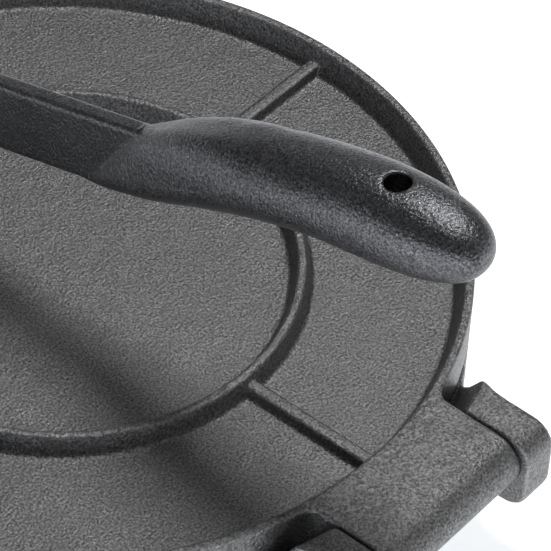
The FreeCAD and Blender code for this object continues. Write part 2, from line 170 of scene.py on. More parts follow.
# fasteners and feet
WASHER_T = 1.6
WASHER_EDGE_R = 0.35
THREAD_PITCH = 1.5
THREAD_INSET = 3.0          # how far the thread runs in past the left washer
FOOT_CIRCLE_R = 98.0
FOOT_X = FOOT_CIRCLE_R / math.sqrt(2)
FOOT_R = 12.0
FOOT_TOP_R = 10.5
FOOT_H = 9.0
FOOT_RECESS_R = 6.6
FOOT_RECESS_H = 4.0
FOOT_WASHER_T = 1.0
SCREW_R = 2.5
SCREW_PITCH = 0.8
SCREW_HEAD_R = 4.6
SCREW_HEAD_H = 2.4
SCREW_TOP_Z = 19.0
SLOT_HALF_W = 0.45
SLOT_HALF_L = 2.3
SLOT_DEPTH = 1.4

# convexity of a casting's skin, used to lighten its edges: partly rubbed bare, partly a painted
# edge highlight
EDGE_WEAR_AND_SHEEN = "edge_wear_and_sheen"     # mesh attribute that skin() writes


# ---------------------------------------------------------------- fields

def blend_union(a, b, radius):
    """Union of two fields with a fillet of that radius where they meet."""
    corner = np.hypot(np.maximum(radius - a, 0), np.maximum(radius - b, 0))
    return np.maximum(radius, np.minimum(a, b)) - corner


def round_both(a, b, radius):
    """Intersection of two fields with its outer edge rounded to that radius."""
    return -blend_union(-a, -b, radius)


def outline(corners, steps=6):
    """Corners (u, v, radius) as a plain polygon, with each rounded corner as a short arc."""
    points = []
    count = len(corners)
    for i, corner in enumerate(corners):
        here = np.array(corner[:2], float)
        radius = corner[2] if len(corner) > 2 else 0.0
        if radius == 0.0:
            points.append(here)
            continue
        back = np.array(corners[i - 1][:2], float) - here
        ahead = np.array(corners[(i + 1) % count][:2], float) - here
        back /= np.linalg.norm(back)
        ahead /= np.linalg.norm(ahead)
        half = math.acos(float(back @ ahead)) / 2
        middle = (back + ahead) / np.linalg.norm(back + ahead)
        centre = here + middle * radius / math.sin(half)
        start = here + back * radius / math.tan(half) - centre
        end = here + ahead * radius / math.tan(half) - centre
        for k in range(steps + 1):
            spoke = start + (end - start) * k / steps
            points.append(centre + spoke / np.linalg.norm(spoke) * radius)
    return points


def polygon(u, v, corners):
    """Signed distance to a closed polygon in the plane of u and v."""
    points = outline(corners)
    nearest = np.full(np.broadcast(u, v).shape, np.inf)
    inside = np.zeros(nearest.shape, bool)
    for a, b in zip(points, points[1:] + points[:1]):
        du, dv = b - a
        if du * du + dv * dv < 1e-12:
            continue
        t = np.clip(((u - a[0]) * du + (v - a[1]) * dv) / (du * du + dv * dv), 0, 1)
        nearest = np.minimum(nearest, (u - a[0] - t * du) ** 2 + (v - a[1] - t * dv) ** 2)
        if dv != 0:
            crosses = (a[1] <= v) != (b[1] <= v)
            inside ^= crosses & (u < a[0] + (v - a[1]) * du / dv)
    return np.where(inside, -1, 1) * np.sqrt(nearest)


def between(x, low, high):
    """Space between two parallel planes."""
    return np.abs(x - (low + high) / 2) - (high - low) / 2


def endless_bar(u, v, at_u, at_v, radius):
    """Round bar without ends, square to the plane of u and v."""
    return np.hypot(u - at_u, v - at_v) - radius


def slab(side, x, x_low, x_high, radius):
    """Side outline field made as thick as x_low to x_high, with its long edges rounded."""
    return round_both(side, between(x, x_low, x_high), radius)


def bar_across(x, y, z, at_y, at_z, radius, half_w, edge):
    """Cylinder that lies along X."""
    return round_both(endless_bar(y, z, at_y, at_z, radius), np.abs(x) - half_w, edge)


def upper_plate_solid(x, y, z, r):
    """Plate and hinge lug, before they are hollowed."""
    lug_plan = np.maximum(np.abs(x) - LUG_HALF_W, LUG_START_Y - y)
    plan = blend_union(r - PLATE_R, lug_plan, LUG_FILLET)
    front_y = -PLATE_R - 9      # clear of the plate's front
    nose_y = HINGE_Y + KNUCKLE_R
    low_z = HINGE_Z - KNUCKLE_R
    side = polygon(y, z, [
        (front_y, UPPER_BOTTOM_Z),
        (front_y, RIM_TOP_Z),
        (nose_y, RIM_TOP_Z, KNUCKLE_CORNER_R),
        (nose_y, low_z, KNUCKLE_CORNER_R),
        (HINGE_Y - KNUCKLE_R - 2, low_z, LUG_SIDE_R),
        (PLATE_R - LUG_SIDE_R, UPPER_BOTTOM_Z, LUG_SIDE_R),
    ])
    return round_both(plan, side, FINE_EDGE_R)


def upper_plate_field(x, y, z):
    r = np.hypot(x, y)
    rim_lean = (RIM_INNER_R - RIM_FOOT_R) / (RIM_TOP_Z - FLOOR_Z)
    wall = r - (RIM_INNER_R + (z - RIM_TOP_Z) * rim_lean)
    pad = np.maximum(np.abs(x) - PAD_HALF_W, y - PAD_INNER_Y)
    hollow = round_both(wall, -pad, HOLLOW_CORNER_R)
    hollow = round_both(FLOOR_Z - z, hollow, FOOT_FILLET)
    solid = round_both(upper_plate_solid(x, y, z, r), -hollow, FINE_EDGE_R)
    ring_side = np.abs(r - RING_R) - RING_HALF_T - (RING_TOP_Z - z) * RING_LEAN
    ring_side = ring_side / math.hypot(1, RING_LEAN)
    ring = round_both(np.maximum(ring_side, FLOOR_Z - ROOT - z), z - RING_TOP_Z, FINE_EDGE_R)
    solid = blend_union(solid, ring, FOOT_FILLET)
    rib_side = np.minimum(np.abs(x), np.abs(y)) - RIB_HALF_T - (RIB_TOP_Z - z) * RIB_LEAN
    rib = round_both(np.maximum(rib_side, FLOOR_Z - ROOT - z), z - RIB_TOP_Z, FINE_EDGE_R)
    rib = np.maximum(rib, np.maximum(RING_R - r, r - RIM_INNER_R))
    solid = blend_union(solid, rib, FOOT_FILLET)
    bore = endless_bar(y, z, HINGE_Y, HINGE_Z, HINGE_PIN_R + 0.06)
    return round_both(solid, -bore, BORE_EDGE_R)


# ---------------------------------------------------------------- base plate and lever

def ear_plan():
    """Right ear seen from above: straight inside, flared into the plate's edge outside."""
    flare_x = EAR_OUTER_X + EAR_FLARE_R
    flare_y = math.sqrt((PLATE_R + EAR_FLARE_R) ** 2 - flare_x ** 2)
    meet_x = flare_x * PLATE_R / (PLATE_R + EAR_FLARE_R)
    meet_y = flare_y * PLATE_R / (PLATE_R + EAR_FLARE_R)
    corner_y = meet_y + (meet_x - EAR_OUTER_X) * meet_x / meet_y
    return [
        (EAR_INNER_X, EAR_PLAN_START_Y),
        (EAR_INNER_X, EAR_END_Y),
        (EAR_OUTER_X, EAR_END_Y),
        (EAR_OUTER_X, corner_y, EAR_FLARE_R),
        (meet_x, meet_y),
        (meet_x - 6.0, EAR_PLAN_START_Y),
    ]


def ear_field(r, wide, y, z):
    """Both hinge ears. Each rises from the plate's edge to its top as part of a cone."""
    plan = polygon(wide, y, ear_plan())
    side = polygon(y, z, [
        (EAR_START_Y, EAR_LOW_Z),
        (EAR_START_Y, RIM_TOP_Z),
        (EAR_END_Y, RIM_TOP_Z, EAR_END_R),
        (EAR_END_Y, EAR_END_LOW_Z, EAR_END_R),
        (EAR_STEP_Y, EAR_END_LOW_Z, EAR_STEP_R),
        (EAR_STEP_FOOT_Y, EAR_LOW_Z, EAR_STEP_R),
    ])
    ramp_foot_z = BASE_TOP_Z - 1.0
    rise = math.atan2(RIM_TOP_Z - ramp_foot_z, RAMP_TOP_R - RAMP_FOOT_R)
    ramp = (z - ramp_foot_z) * math.cos(rise) - (r - RAMP_FOOT_R) * math.sin(rise)
    return round_both(round_both(plan, side, 1.2), ramp, 1.5)


def post_field(wide, y, z):
    """The two posts that hold the lever's pivot, and the web between them."""
    leg = polygon(y, z, [
        (POST_START_Y, 25.0),
        (POST_START_Y, POST_LOW_Z),
        (-170.0, POST_LOW_Z, 20.0),
        (PIVOT_Y - POST_R, 24.0, 10.0),
        (PIVOT_Y - POST_R, PIVOT_Z),
        (PIVOT_Y + POST_R, PIVOT_Z),
        (-160.0, BASE_TOP_Z - 1.0, 14.0),
        (-134.0, 27.0, 4.0),
    ])
    head = endless_bar(y, z, PIVOT_Y, PIVOT_Z, POST_R)
    posts = slab(np.minimum(leg, head), wide, POST_INNER_X, POST_OUTER_X, 2.0)
    web_top_z = BASE_TOP_Z - 6.0
    web = polygon(y, z, [
        (POST_START_Y, web_top_z),
        (POST_START_Y, POST_LOW_Z),
        (-170.0, POST_LOW_Z, 20.0),
        (WEB_END_Y, 17.0, 4.0),
        (WEB_END_Y, web_top_z, 3.0),
    ])
    return blend_union(posts, np.maximum(web, wide - POST_INNER_X - 3.0), 2.0)


def base_plate_field(x, y, z):
    r = np.hypot(x, y)
    wide = np.abs(x)
    deep = np.abs(y)
    disc = round_both(r - PLATE_R, between(z, SKIRT_BOTTOM_Z, BASE_TOP_Z), EDGE_R)
    skirt_inner = r - (PLATE_R - SKIRT_T) - (BASE_FLOOR_Z - z) * SKIRT_LEAN
    hollow = round_both(skirt_inner, z - BASE_FLOOR_Z, HOLLOW_CORNER_R)
    solid = round_both(disc, -hollow, 1.2)
    rib_turn = math.pi / 4
    bearing = np.arctan2(y, x)
    across = np.abs(r * np.sin(bearing - np.round(bearing / rib_turn) * rib_turn))
    rib = np.maximum(np.maximum(across - BASE_RIB_HALF_T, BASE_RIB_LOW_Z - z),
                     np.maximum(r - BASE_RIB_END_R, z - BASE_ROOT_Z))
    solid = blend_union(solid, rib, BASE_FILLET)
    boss = endless_bar(wide, deep, FOOT_X, FOOT_X, BOSS_R)
    boss = np.maximum(boss, np.maximum(BOSS_LOW_Z - z, z - BASE_ROOT_Z))
    solid = blend_union(solid, boss, BASE_FILLET)
    solid = blend_union(solid, ear_field(r, wide, y, z), 2.0)
    solid = blend_union(solid, post_field(wide, y, z), POST_FILLET)
    hinge_bore = np.maximum(endless_bar(y, z, HINGE_Y, HINGE_Z, HINGE_PIN_R + 0.02), 20 - wide)
    pivot_bore = np.maximum(endless_bar(y, z, PIVOT_Y, PIVOT_Z, PIVOT_PIN_R + 0.02), wide - 30)
    screw_bore = np.maximum(endless_bar(wide, deep, FOOT_X, FOOT_X, SCREW_R + 0.1),
                            z - SCREW_TOP_Z - 1.0)
    bores = np.minimum(np.minimum(hinge_bore, pivot_bore), screw_bore)
    return round_both(solid, -bores, BORE_EDGE_R)


def shank_low_z(y):
    """Height of the shank's lower edge at y."""
    return SHANK_LOW_Z + math.tan(SHANK_SLOPE) * (y - SHANK_LOW_Y)


# Centre line of the grip: y, z and slope, joined by smooth cubic spans.
GRIP_KNOTS = [
    (10.0, 103.6, 0.33),
    (24.0, 108.6, 0.38),
    (38.0, 114.4, 0.50),
    (52.0, 122.2, 0.56),
    (76.0, 134.4, 0.44),
    (100.0, 143.1, 0.30),
    (124.0, 148.7, 0.17),
    (160.0, 153.4, 0.07),
]
GRIP_FULL_Y = 124.0         # where the blunt nose begins
GRIP_NOSE_L = 36.0
GRIP_NOSE_BOXY = 2.5
GRIP_HALF_W = 14.6
CREASE_Y = 15.0             # the grip swells out of the shank along a slanted line
CREASE_Z = 96.4
CREASE_LEAN = 0.63


def grip_line(y):
    """Height and slope of the grip's centre line."""
    height = np.zeros_like(y)
    slope = np.zeros_like(y)
    for (y0, z0, s0), (y1, z1, s1) in zip(GRIP_KNOTS, GRIP_KNOTS[1:]):
        span = y1 - y0
        t = (y - y0) / span
        here = (t >= 0) & (t < 1)
        if y0 == GRIP_KNOTS[0][0]:
            here |= t < 0
        if y1 == GRIP_KNOTS[-1][0]:
            here |= t >= 1
        t = np.clip(t, 0, 1)
        z = ((2 * t**3 - 3 * t**2 + 1) * z0 + (t**3 - 2 * t**2 + t) * span * s0
             + (3 * t**2 - 2 * t**3) * z1 + (t**3 - t**2) * span * s1)
        s = ((6 * t**2 - 6 * t) * (z0 - z1) / span + (3 * t**2 - 4 * t + 1) * s0
             + (3 * t**2 - 2 * t) * s1)
        beyond = y - (y0 + t * span)
        height = np.where(here, z + s * beyond, height)
        slope = np.where(here, s, slope)
    return height, slope


def grip_field(x, y, z):
    """Grip with a squarish section that swells out of the shank and ends in a blunt nose.

    foot is the y of the nearest point on the centre line."""
    foot = np.broadcast_to(y, np.broadcast(y, z).shape).astype(float)
    for _ in range(4):
        height, slope = grip_line(foot)
        foot = foot + ((y - foot) + (z - height) * slope) / (1 + slope**2)
    height, slope = grip_line(foot)
    cosine = 1 / np.sqrt(1 + slope**2)
    rise = (z - height) * cosine - (y - foot) * slope * cosine
    behind = (y - CREASE_Y) - (z - CREASE_Z) * CREASE_LEAN
    start = np.clip(behind / 52.0, 0.0, 1.0)
    half_w = GRIP_HALF_W * np.sqrt(np.clip(1 - (1 - start) ** 2, 0.03, 1))
    waist = 2.4 * np.exp(-((foot - 35) / 17) ** 2)
    half_h = 13.4 - waist + 0.8 * np.exp(-((foot - 122) / 14) ** 2)
    boxy = 2.15 + 2.2 * np.clip(1 - behind / 34.0, 0, 1)
    past = np.maximum(foot - GRIP_FULL_Y, 0) / GRIP_NOSE_L
    section = (np.abs(x / half_w) ** boxy + np.abs(rise / half_h) ** boxy) ** (1 / boxy)
    size = (section**GRIP_NOSE_BOXY + past**GRIP_NOSE_BOXY) ** (1 / GRIP_NOSE_BOXY)
    body = (size - 1) * np.minimum(np.minimum(half_w, half_h), 12.0)
    return np.maximum(body, -behind / math.hypot(1, CREASE_LEAN))


def shank_field(x, y, z):
    """Flat bar from the pivot to the grip, with a step down to the hub at its front end."""
    rise = SHANK_H / math.cos(SHANK_SLOPE)
    side = polygon(y, z, [
        (-104.0, shank_low_z(-104.0), 10.0),
        (18.0, shank_low_z(18.0), 2.0),
        (36.0, 109.0),
        (36.0, shank_low_z(36.0) + rise, 3.0),
        (-150.0, shank_low_z(-150.0) + rise, 20.0),
        (PIVOT_Y, PIVOT_Z + HUB_R - 6.0),
        (PIVOT_Y, PIVOT_Z - 4.0),
        (PIVOT_Y + HUB_R, PIVOT_Z - 2.0, 4.0),
        (-140.0, UNDERARM_Z, 6.0),
        (HEEL_Y - 5.0, UNDERARM_Z),
    ])
    return slab(side, x, -SHANK_HALF_T, SHANK_HALF_T, SHANK_EDGE_R)


def heel_field(x, y, z):
    """Round heel that presses on the plate, with the web above it."""
    heel_z = RIM_TOP_Z + HEEL_GAP + HEEL_R
    heel = bar_across(x, y, z, HEEL_Y, heel_z, HEEL_R, HEEL_HALF_W, 1.5)
    web = polygon(y, z, [
        (HEEL_Y - HEEL_R, heel_z),
        (HEEL_Y + HEEL_R, heel_z),
        (HEEL_Y + HEEL_R + 6.0, heel_z + HEEL_RISE),
        (HEEL_Y - HEEL_R, heel_z + HEEL_RISE),
    ])
    return np.minimum(heel, slab(web, x, 1.0 - HEEL_HALF_W, HEEL_HALF_W - 1.0, 1.5))


def lever_field(x, y, z):
    hub = bar_across(x, y, z, PIVOT_Y, PIVOT_Z, HUB_R, HUB_HALF_W, 1.2)
    lever = blend_union(shank_field(x, y, z), hub, HUB_FILLET)
    lever = blend_union(lever, heel_field(x, y, z), HEEL_FILLET)
    lever = blend_union(lever, grip_field(x, y, z), 0.8)
    pivot_bore = endless_bar(y, z, PIVOT_Y, PIVOT_Z, PIVOT_PIN_R + 0.06)
    hang_hole = np.maximum(endless_bar(x, y, 0, HANG_HOLE_Y, HANG_HOLE_R), HANG_HOLE_LOW_Z - z)
    lever = np.maximum(lever, -pivot_bore)
    return round_both(lever, -hang_hole, HANG_HOLE_EDGE_R)


# ---------------------------------------------------------------- fasteners and feet

def hexagon(y, z, across_flats):
    """Prism along X with two of its corners up and down."""
    sides = [np.abs(y * math.cos(turn) + z * math.sin(turn))
             for turn in (0, math.pi / 3, -math.pi / 3)]
    return np.maximum(np.maximum(sides[0], sides[1]), sides[2]) - across_flats / 2


def hex_head(x, y, z, x_low, x_high, across_flats, chamfered):
    """Hexagon between two x planes, with its corners turned off at the chamfered ends."""
    r = np.hypot(y, z)
    head = round_both(hexagon(y, z, across_flats), between(x, x_low, x_high), 0.3)
    crown = across_flats * 0.545
    for end, outward in chamfered:
        cone = r - crown - (end - x) * outward * math.tan(math.radians(60))
        head = np.maximum(head, cone * math.cos(math.radians(60)))
    return head


def screw_thread(along, r, turn, radius, pitch):
    """Round bar with a spiral groove."""
    phase = (along / pitch - turn / (2 * math.pi)) % 1.0
    return (r - radius + 0.55 * pitch * np.abs(phase - 0.5)) * 0.75


def flats_of(node):
    """Size across the flats of a hexagon that lies along X."""
    low, high = node_box(node)
    return min(high.y - low.y, high.z - low.z)


def lever_pin_r():
    """Radius of the lever bolt's pin, from the thickness of its head."""
    head_t = node_box("lever_bolt")[1].x - node_box("lever_washers")[1].x
    return head_t / 1.3


def bolt_field(node, at_y, at_z):
    """Hex bolt along X with its head on the right and a threaded left end."""
    low, high = node_box(node)
    across_flats = flats_of(node)
    head_x = node_box("lever_washers")[1].x
    pin_r = lever_pin_r()
    thread_end_x = THREAD_INSET - head_x

    def field(x, y, z):
        y = y - at_y
        z = z - at_z
        r = np.hypot(y, z)
        turn = np.arctan2(z, y)
        head = hex_head(x, y, z, head_x, high.x, across_flats, [(high.x, 1)])
        flat_pin = np.maximum(r - pin_r, thread_end_x - x)
        threaded = np.maximum(screw_thread(x, r, turn, pin_r, THREAD_PITCH), x - thread_end_x)
        pin = np.minimum(flat_pin, threaded)
        end_chamfer = (r - pin_r + 1.0 - (x - low.x)) * 0.7
        pin = np.maximum(np.maximum(pin, end_chamfer), np.maximum(low.x - x, x - head_x - 1.0))
        return np.minimum(head, pin)
    return field


def hinge_pin_field(x, y, z):
    """Round-headed pin along X, flush with the left ear."""
    low, high = node_box("hinge_pin")
    r = np.hypot(y - HINGE_Y, z - HINGE_Z)
    head_x = high.x - HINGE_HEAD_T
    shaft = round_both(r - HINGE_PIN_R, np.maximum(low.x - x, x - high.x + 1.0), 0.6)
    dome = np.hypot(np.maximum(x - head_x + 8.0, 0), r) - HINGE_HEAD_T - 8.0
    head = round_both(r - HINGE_HEAD_R, np.maximum(head_x - x, dome), 0.7)
    return np.minimum(shaft, head)


def nut_field(node, at_y, at_z, pin_r):
    """Lock nut on the left: a hexagon with a round collar at its outer end."""
    low, high = node_box(node)
    across_flats = flats_of(node)
    collar = (high.x - low.x) * 0.3

    def field(x, y, z):
        y = y - at_y
        z = z - at_z
        r = np.hypot(y, z)
        body = hex_head(x, y, z, low.x + collar, high.x, across_flats,
                        [(high.x, 1), (low.x + collar, -1)])
        neck = round_both(r - across_flats * 0.44, np.maximum(low.x - x, x - high.x + 1.0), 0.8)
        return round_both(np.minimum(body, neck), pin_r + 0.1 - r, 0.3)
    return field


def ring_field(x_low, x_high, at_y, at_z, outer_r, inner_r, edge):
    """Washer across X."""
    def field(x, y, z):
        r = np.hypot(y - at_y, z - at_z)
        disc = round_both(r - outer_r, between(x, x_low, x_high), edge)
        return round_both(disc, inner_r - r, edge)
    return field


def both_washers(node, at_y, at_z, inner_r):
    """The two washers of a bolt, one at each side of the press."""
    low, high = node_box(node)
    outer_r = (high.z - low.z) / 2
    right = ring_field(high.x - WASHER_T, high.x, at_y, at_z, outer_r, inner_r, WASHER_EDGE_R)
    left = ring_field(low.x, low.x + WASHER_T, at_y, at_z, outer_r, inner_r, WASHER_EDGE_R)
    return lambda x, y, z: np.minimum(right(x, y, z), left(x, y, z))


def foot_field(at_x, at_y):
    """Tapered rubber foot with a recess below for the screw's head."""
    def field(x, y, z):
        r = np.hypot(x - at_x, y - at_y)
        cone = (r - FOOT_TOP_R - (FOOT_H - z) * (FOOT_R - FOOT_TOP_R) / FOOT_H) * 0.98
        groove = np.hypot(r - FOOT_TOP_R - 1.0, z - FOOT_H * 0.62) - 0.7
        body = round_both(cone, between(z, 0, FOOT_H), 1.2)
        body = round_both(body, -groove, 0.4)
        recess = np.maximum(r - FOOT_RECESS_R, z - FOOT_RECESS_H)
        hole = r - SCREW_R - 0.3
        return round_both(body, -np.minimum(recess, hole), 0.4)
    return field


def foot_screw_field(at_x, at_y):
    """Pan-head screw with a cross recess, threaded up into the boss."""
    head_top = FOOT_RECESS_H - FOOT_WASHER_T
    head_low = head_top - SCREW_HEAD_H

    def field(x, y, z):
        x = x - at_x
        y = y - at_y
        r = np.hypot(x, y)
        head = round_both(r - SCREW_HEAD_R, between(z, head_low, head_top), 1.1)
        slot = np.minimum(np.maximum(np.abs(x) - SLOT_HALF_W, np.abs(y) - SLOT_HALF_L),
                          np.maximum(np.abs(y) - SLOT_HALF_W, np.abs(x) - SLOT_HALF_L))
        head = np.maximum(head, -np.maximum(slot, z - head_low - SLOT_DEPTH))
        shank = screw_thread(z, r, np.arctan2(y, x), SCREW_R, SCREW_PITCH)
        shank = np.maximum(shank, np.maximum(head_top - 0.5 - z, z - SCREW_TOP_Z))
        return np.minimum(head, shank)
    return field


def foot_washer_field(at_x, at_y):
    """Flat washer at the top of a foot's recess."""
    def field(x, y, z):
        r = np.hypot(x - at_x, y - at_y)
        flat = between(z, FOOT_RECESS_H - FOOT_WASHER_T, FOOT_RECESS_H)
        disc = round_both(r - FOOT_RECESS_R + 0.6, flat, 0.2)
        return round_both(disc, SCREW_R + 0.2 - r, 0.2)
    return field


def nearest_foot(make_field):
    """One field for all four feet, from a field of one foot."""
    def field(x, y, z):
        one = make_field(FOOT_X, FOOT_X)
        return one(np.abs(x), np.abs(y), z)
    return field


# ---------------------------------------------------------------- from field to mesh

BLOCK = 16                  # cells along a side of one block of the grid
SLOPE_STEP = 0.05
SETTLE_STEPS = 2
LONGEST_MOVE = 0.5


def sample(field, axes, cell):
    """Field on a grid. A block of the grid that lies far from the surface gets one value."""
    values = np.empty([len(axis) for axis in axes], np.float32)
    for block in np.ndindex(*[-(-len(axis) // BLOCK) for axis in axes]):
        spans = tuple(slice(n * BLOCK, (n + 1) * BLOCK) for n in block)
        x, y, z = [axis[span] for axis, span in zip(axes, spans)]
        middle = float(field(np.array([x.mean()]), np.array([y.mean()]), np.array([z.mean()]))[0])
        if abs(middle) > BLOCK * cell * 1.2:
            values[spans] = middle
        else:
            values[spans] = field(x[:, None, None], y[None, :, None], z[None, None, :])
    return values


def crossing_sum(values):
    """For every cell, the sum of its edges' zero crossings, in cells, and how many there are."""
    shape = tuple(n - 1 for n in values.shape)
    total = np.zeros(shape + (3,), np.float32)
    count = np.zeros(shape, np.float32)
    for axis in range(3):
        u, v = [a for a in range(3) if a != axis]
        for shift_u, shift_v in ((0, 0), (0, 1), (1, 0), (1, 1)):
            low = [slice(0, n) for n in shape]
            low[u] = slice(shift_u, shape[u] + shift_u)
            low[v] = slice(shift_v, shape[v] + shift_v)
            high = list(low)
            high[axis] = slice(1, shape[axis] + 1)
            a, b = values[tuple(low)], values[tuple(high)]
            crossed = (a < 0) != (b < 0)
            total[..., axis] += np.where(crossed, a / np.where(crossed, a - b, 1), 0)
            total[..., u] += crossed * shift_u
            total[..., v] += crossed * shift_v
            count += crossed
    return total, count


def net(values):
    """Points, in cells, and quads of the surface where the grid's values change sign."""
    total, count = crossing_sum(values)
    active = count > 0
    index = np.full(active.shape, -1, np.int64)
    index[active] = np.arange(int(active.sum()))
    points = np.argwhere(active) + total[active] / count[active][:, None]
    quads = []
    inside = values < 0
    for axis in range(3):
        u, v = [a for a in range(3) if a != axis]
        low = [slice(1, n - 1) for n in values.shape]
        low[axis] = slice(0, values.shape[axis] - 1)
        high = list(low)
        high[axis] = slice(1, values.shape[axis])
        a, b = inside[tuple(low)], inside[tuple(high)]
        at = np.argwhere(a != b) + [0 if k == axis else 1 for k in range(3)]
        leaving = a[a != b]
        ring = []
        for du, dv in ((1, 1), (0, 1), (0, 0), (1, 0)):
            cell = at.copy()
            cell[:, u] -= du
            cell[:, v] -= dv
            ring.append(index[cell[:, 0], cell[:, 1], cell[:, 2]])
        quad = np.stack(ring, -1)
        flip = leaving if axis == 1 else ~leaving
        quad[flip] = quad[flip][:, ::-1]
        quads.append(quad)
    return points, np.concatenate(quads)


def slope_of(field, points, step):
    """Slope of a field along each axis, at each point."""
    x, y, z = points.T
    return np.stack([field(x + step, y, z) - field(x - step, y, z),
                     field(x, y + step, z) - field(x, y - step, z),
                     field(x, y, z + step) - field(x, y, z - step)], -1) / (2 * step)


def settle(points, field):
    """Move points along the field's slope onto its surface."""
    for _ in range(SETTLE_STEPS):
        slope = slope_of(field, points, SLOPE_STEP)
        steepness = np.maximum((slope ** 2).sum(-1), 0.2)
        move = slope * (field(*points.T) / steepness)[:, None]
        longest = np.linalg.norm(move, axis=1)
        points = points - move * (LONGEST_MOVE / np.maximum(longest, LONGEST_MOVE))[:, None]
    return points


def bulge(field, points, reach=1.2):
    """How convex the surface is at each point: 0 on a flat face, 1 on a sharp outer edge."""
    around = 0
    for axis in range(3):
        for side in (-reach, reach):
            moved = points.copy()
            moved[:, axis] += side
            around = around + field(*moved.T)
    return np.clip(around / (6 * reach) * 2.5, -1, 1)


def skin(name, field, low, high, cell, keep=1.0):
    """Mesh object of a field between two corners. Cells and corners are in millimetres.

    keep is the share of the triangles that stays after flat faces are thinned out."""
    axes = [np.arange(a - 1.5 * cell, b + 2.5 * cell, cell) for a, b in zip(low, high)]
    points, quads = net(sample(field, axes, cell))
    points = np.stack([axes[k][0] + points[:, k] * cell for k in range(3)], -1)
    points = settle(points, field)
    # convexity, which the cast material uses to lighten edges: partly rubbed bare, partly a painted
    # edge highlight
    worn_and_sheen = bulge(field, points)
    points[:, 1] += PLATE_Y
    mesh = bpy.data.meshes.new(name)
    mesh.vertices.add(len(points))
    mesh.vertices.foreach_set("co", (points * MM).astype(np.float32).ravel())
    mesh.loops.add(quads.size)
    mesh.loops.foreach_set("vertex_index", quads.astype(np.int32).ravel())
    mesh.polygons.add(len(quads))
    mesh.polygons.foreach_set("loop_start", np.arange(0, quads.size, 4, dtype=np.int32))
    mesh.update(calc_edges=True)
    mesh.validate()
    mesh.shade_smooth()
    wear_and_sheen = mesh.attributes.new(EDGE_WEAR_AND_SHEEN, "FLOAT", "POINT")
    wear_and_sheen.data.foreach_set("value", worn_and_sheen.astype(np.float32))
    piece = bpy.data.objects.new(name, mesh)
    bpy.context.scene.collection.objects.link(piece)
    if keep < 1.0:
        thin = piece.modifiers.new("thin_flat_faces", "DECIMATE")
        thin.ratio = keep
    return piece


# ---------------------------------------------------------------- materials

class Surface:
    """A material's node tree, with short calls for the nodes that the finishes share."""

    def __init__(self, name):
        self.material = bpy.data.materials.new(name)
        self.material.use_nodes = True
        self.tree = self.material.node_tree
        self.shader = self.tree.nodes["Principled BSDF"]
        self.place = self.tree.nodes.new("ShaderNodeTexCoord").outputs["Object"]

    def node(self, kind, **settings):
        made = self.tree.nodes.new("ShaderNode" + kind)
        for key, value in settings.items():
            setattr(made, key, value)
        return made

    def link(self, source, target):
        self.tree.links.new(source, target)

    def noise(self, size, detail=2.0, rough=0.5, warp=0.0):
        """Noise with features of about that size in metres, from 0 to 1."""
        made = self.node("TexNoise")
        made.inputs["Scale"].default_value = 1 / size
        made.inputs["Detail"].default_value = detail
        made.inputs["Roughness"].default_value = rough
        made.inputs["Distortion"].default_value = warp
        self.link(self.place, made.inputs["Vector"])
        return made.outputs["Fac"]

    def cells(self, size, smooth=0.6):
        """Rounded pebbles of about that size in metres."""
        made = self.node("TexVoronoi", feature="SMOOTH_F1")
        made.inputs["Scale"].default_value = 1 / size
        made.inputs["Smoothness"].default_value = smooth
        self.link(self.place, made.inputs["Vector"])
        return made.outputs["Distance"]

    def spread(self, value, low, high, to_low, to_high):
        """Value from low to high spread over to_low to to_high, held at both ends."""
        made = self.node("MapRange")
        ends = {"From Min": low, "From Max": high, "To Min": to_low, "To Max": to_high}
        for key, number in ends.items():
            made.inputs[key].default_value = number
        self.link(value, made.inputs["Value"])
        return made.outputs["Result"]

    def math(self, operation, a, b):
        made = self.node("Math", operation=operation)
        for socket, value in zip(made.inputs, (a, b)):
            if isinstance(value, (int, float)):
                socket.default_value = value
            else:
                self.link(value, socket)
        return made.outputs[0]

    def mix_colour(self, share, a, b):
        """Colour a turning to colour b as share goes from 0 to 1."""
        made = self.node("Mix", data_type="RGBA")
        self.link(share, made.inputs["Factor"])
        for socket, colour in ((made.inputs[6], a), (made.inputs[7], b)):
            if isinstance(colour, tuple):
                socket.default_value = colour + (1.0,)
            else:
                self.link(colour, socket)
        return made.outputs[2]

    def bump(self, height, depth, after=None):
        """Bump of that depth in metres, on top of an earlier one."""
        made = self.node("Bump")
        made.inputs["Strength"].default_value = 1.0
        made.inputs["Distance"].default_value = depth
        self.link(height, made.inputs["Height"])
        if after is not None:
            self.link(after, made.inputs["Normal"])
        return made.outputs["Normal"]


def scaled(colour, factor):
    """Colour made darker or lighter."""
    return tuple(channel * factor for channel in colour)


